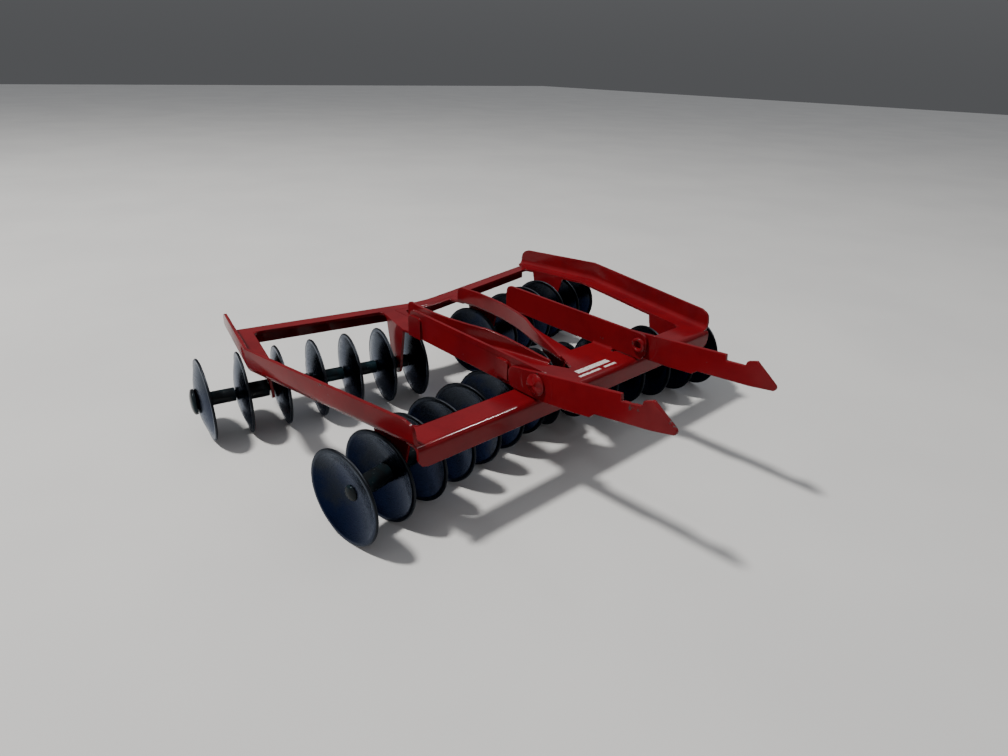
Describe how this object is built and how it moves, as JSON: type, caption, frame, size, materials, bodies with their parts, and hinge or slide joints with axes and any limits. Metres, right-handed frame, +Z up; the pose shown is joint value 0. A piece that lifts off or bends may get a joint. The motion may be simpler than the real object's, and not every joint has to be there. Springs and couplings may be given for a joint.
{
  "type": "toy disc harrow",
  "caption": "Toy tandem disc harrow: a pressed sheet frame with two hinged hitch prongs over gangs of dished discs that spin on swept axles.",
  "frame": {"origin": "centre of the bounding box on the floor that the discs stand on", "axes": "+X across the machine to its left as it travels, -Y towards the hitch, +Z up"},
  "size_m": [0.189, 0.1582, 0.0471],
  "materials": {
    "red_enamel": "gloss enamel, worn at the hitch prongs and edges",
    "blued_steel": "dark blued, polished",
    "black_axle": "black, semi-gloss"
  },
  "bodies": {
    "frame": {"frame": "red_enamel", "prong_rivet_left": "red_enamel", "prong_rivet_right": "red_enamel"},
    "hitch_left": {"hitch_prong_left": "red_enamel"},
    "hitch_right": {"hitch_prong_right": "red_enamel"},
    "gang_front_left": {"axle_front_left": "black_axle", "disc_front_left_1": "blued_steel", "disc_front_left_2": "blued_steel", "disc_front_left_3": "blued_steel", "disc_front_left_4": "blued_steel", "disc_front_left_5": "blued_steel", "disc_front_left_6": "blued_steel", "disc_front_left_7": "blued_steel"},
    "gang_rear_left": {"axle_rear_left": "black_axle", "disc_rear_left_1": "blued_steel", "disc_rear_left_2": "blued_steel", "disc_rear_left_3": "blued_steel", "disc_rear_left_4": "blued_steel", "disc_rear_left_5": "blued_steel", "disc_rear_left_6": "blued_steel", "disc_rear_left_7": "blued_steel"},
    "gang_front_right": {"axle_front_right": "black_axle", "disc_front_right_1": "blued_steel", "disc_front_right_2": "blued_steel", "disc_front_right_3": "blued_steel", "disc_front_right_4": "blued_steel", "disc_front_right_5": "blued_steel", "disc_front_right_6": "blued_steel", "disc_front_right_7": "blued_steel"},
    "gang_rear_right": {"axle_rear_right": "black_axle", "disc_rear_right_1": "blued_steel", "disc_rear_right_2": "blued_steel", "disc_rear_right_3": "blued_steel", "disc_rear_right_4": "blued_steel", "disc_rear_right_5": "blued_steel", "disc_rear_right_6": "blued_steel", "disc_rear_right_7": "blued_steel"}
  },
  "joints": [
    {"name": "gang_front_left_spin", "type": "hinge", "parent": "frame", "child": "gang_front_left", "pos_m": [0.0816, -0.01705, 0.0143], "axis": [0.9799, -0.1994, 0], "continuous": true},
    {"name": "gang_rear_left_spin", "type": "hinge", "parent": "frame", "child": "gang_rear_left", "pos_m": [0.0893, 0.06165, 0.0143], "axis": [0.9799, 0.1994, 0], "continuous": true},
    {"name": "gang_front_right_spin", "type": "hinge", "parent": "frame", "child": "gang_front_right", "pos_m": [-0.0816, -0.01705, 0.0143], "axis": [0.9799, 0.1994, 0], "continuous": true},
    {"name": "gang_rear_right_spin", "type": "hinge", "parent": "frame", "child": "gang_rear_right", "pos_m": [-0.0893, 0.06165, 0.0143], "axis": [0.9799, -0.1994, 0], "continuous": true},
    {"name": "hitch_left_swing", "type": "hinge", "parent": "frame", "child": "hitch_left", "pos_m": [0.0247, -0.03155, 0.0363], "axis": [1, 0, 0], "range_deg": [-4.4, 30.6]},
    {"name": "hitch_right_swing", "type": "hinge", "parent": "frame", "child": "hitch_right", "pos_m": [-0.0247, -0.03155, 0.0363], "axis": [1, 0, 0], "range_deg": [0, 35]}
  ]
}
